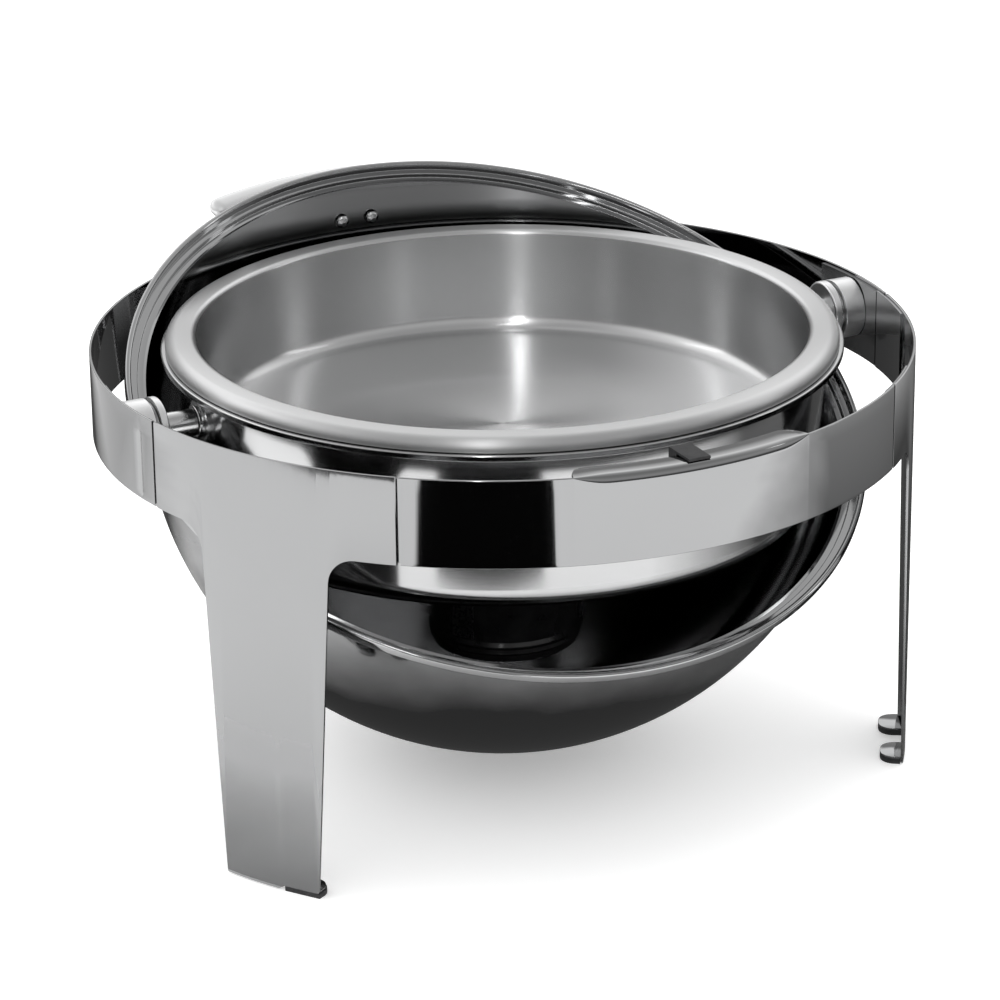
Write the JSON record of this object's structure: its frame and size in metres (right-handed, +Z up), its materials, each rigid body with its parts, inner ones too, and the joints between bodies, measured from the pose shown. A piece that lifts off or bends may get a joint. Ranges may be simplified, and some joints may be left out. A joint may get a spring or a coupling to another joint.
{
  "type": "chafing dish food warmer",
  "caption": "Round roll-top chafing dish: a polished ring stand on sheet legs, a domed lid on side pivots, a food pan over a water pan and a gel-fuel cup.",
  "frame": {"origin": "on the floor, at the middle of the ring stand", "axes": "+Z up; -Y is the front, where the bumper is; the lid's pivot axis runs along X"},
  "size_m": [0.476, 0.4813, 0.3035],
  "materials": {
    "polished_steel": "mirror-polished stainless sheet",
    "satin_steel": "satin spun stainless sheet",
    "black_rubber": "matt moulded rubber",
    "black_enamel": "heat-darkened black coating",
    "painted_can": "plain tinplate",
    "brass_bush": "turned"
  },
  "bodies": {
    "stand": {"front_band": "polished_steel", "rear_right_band": "polished_steel", "rear_left_band": "polished_steel", "left_leg": "polished_steel", "left_leg_pads": "black_rubber", "right_leg": "polished_steel", "right_leg_pads": "black_rubber", "rear_leg": "polished_steel", "rear_leg_pads": "black_rubber", "lid_bumper": "black_rubber", "right_pivot_plate": "polished_steel", "right_outer_hub": "polished_steel", "right_inner_hub": "polished_steel", "right_spacer_tube": "polished_steel", "right_pivot_collar": "polished_steel", "right_pivot_pin": "polished_steel", "right_pan_boss": "polished_steel", "left_pivot_plate": "polished_steel", "left_outer_hub": "polished_steel", "left_inner_hub": "polished_steel", "left_spacer_tube": "polished_steel", "left_pivot_collar": "polished_steel", "left_pivot_pin": "polished_steel", "left_pan_boss": "polished_steel", "water_pan": "satin_steel", "fuel_holder": "black_enamel", "hanger_straps": "black_enamel", "fuel_can": "painted_can"},
    "lid": {"lid_dome": "polished_steel", "right_lid_ear": "satin_steel", "right_pivot_bush": "brass_bush", "left_lid_ear": "satin_steel", "left_pivot_bush": "brass_bush", "handle_grip": "polished_steel", "handle_stem": "satin_steel", "handle_screws": "polished_steel"},
    "food_pan": {"food_pan": "satin_steel"}
  },
  "joints": [
    {"name": "lid_roll", "type": "hinge", "parent": "stand", "child": "lid", "pos_m": [0, 0, 0.2345], "axis": [1, 0, 0], "range_deg": [0, 155.3]},
    {"name": "food_pan_lift", "type": "slide", "parent": "stand", "child": "food_pan", "axis": [0, 0, 1], "range_m": [0, 0.018]}
  ]
}
